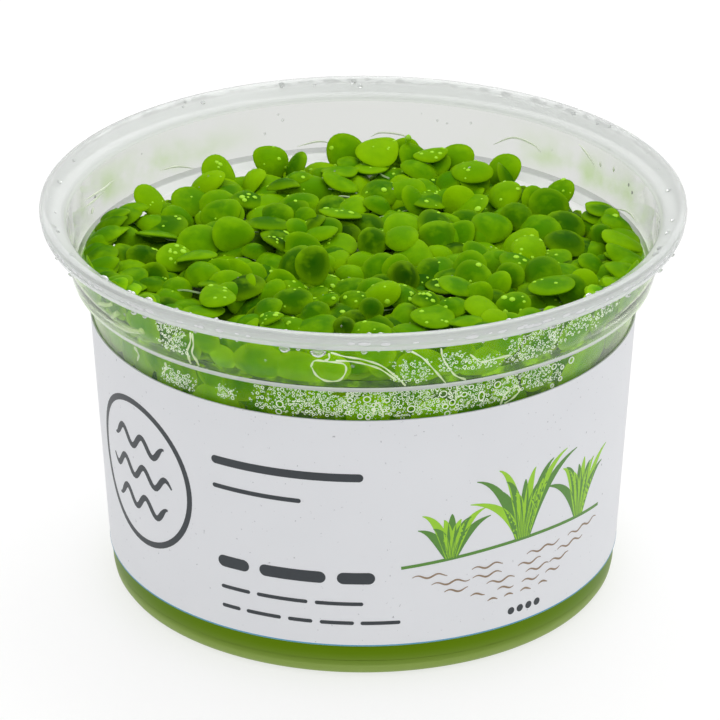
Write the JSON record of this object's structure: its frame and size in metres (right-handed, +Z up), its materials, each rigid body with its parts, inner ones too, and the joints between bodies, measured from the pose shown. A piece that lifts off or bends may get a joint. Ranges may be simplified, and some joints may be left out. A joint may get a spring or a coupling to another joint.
{
  "type": "giant duckweed in a clear tub",
  "caption": "Giant duckweed colonies floating in a clear round plastic tub with a sloping rim, a stacking ledge and a plain paper band.",
  "frame": {"origin": "centre of the tub's flat underside", "axes": "+Z up along the tub's axis, +Y towards the back, where fronds stand against the wall, -Y towards the front of the label"},
  "size_m": [0.08, 0.08, 0.05],
  "materials": {
    "clear_plastic": "clear, slightly milky moulded plastic, glossy",
    "label_paper": null,
    "wet_greenery": "wet packed fronds and roots",
    "duckweed": "waxy, slightly glossy living leaf"
  },
  "bodies": {
    "root": {"duckweed_01": "duckweed", "duckweed_02": "duckweed", "duckweed_03": "duckweed", "duckweed_04": "duckweed", "duckweed_05": "duckweed", "duckweed_06": "duckweed", "duckweed_07": "duckweed", "duckweed_08": "duckweed", "duckweed_09": "duckweed", "duckweed_10": "duckweed", "duckweed_11": "duckweed", "duckweed_12": "duckweed", "duckweed_13": "duckweed", "duckweed_14": "duckweed", "duckweed_15": "duckweed", "duckweed_16": "duckweed", "duckweed_17": "duckweed", "duckweed_18": "duckweed", "duckweed_19": "duckweed", "duckweed_20": "duckweed", "duckweed_21": "duckweed", "duckweed_22": "duckweed", "duckweed_23": "duckweed", "duckweed_24": "duckweed", "duckweed_25": "duckweed", "duckweed_26": "duckweed", "duckweed_27": "duckweed", "duckweed_28": "duckweed", "duckweed_29": "duckweed", "duckweed_30": "duckweed", "duckweed_31": "duckweed", "duckweed_32": "duckweed", "duckweed_33": "duckweed", "duckweed_34": "duckweed", "duckweed_35": "duckweed", "duckweed_36": "duckweed", "duckweed_37": "duckweed", "duckweed_38": "duckweed", "duckweed_39": "duckweed", "duckweed_40": "duckweed", "duckweed_41": "duckweed", "duckweed_42": "duckweed", "duckweed_43": "duckweed", "duckweed_44": "duckweed", "duckweed_45": "duckweed", "duckweed_46": "duckweed", "duckweed_47": "duckweed", "duckweed_48": "duckweed", "duckweed_49": "duckweed", "duckweed_50": "duckweed", "duckweed_51": "duckweed", "duckweed_52": "duckweed", "duckweed_53": "duckweed", "duckweed_54": "duckweed", "label": "label_paper", "submerged_duckweed": "wet_greenery", "tub": "clear_plastic"}
  },
  "joints": []
}
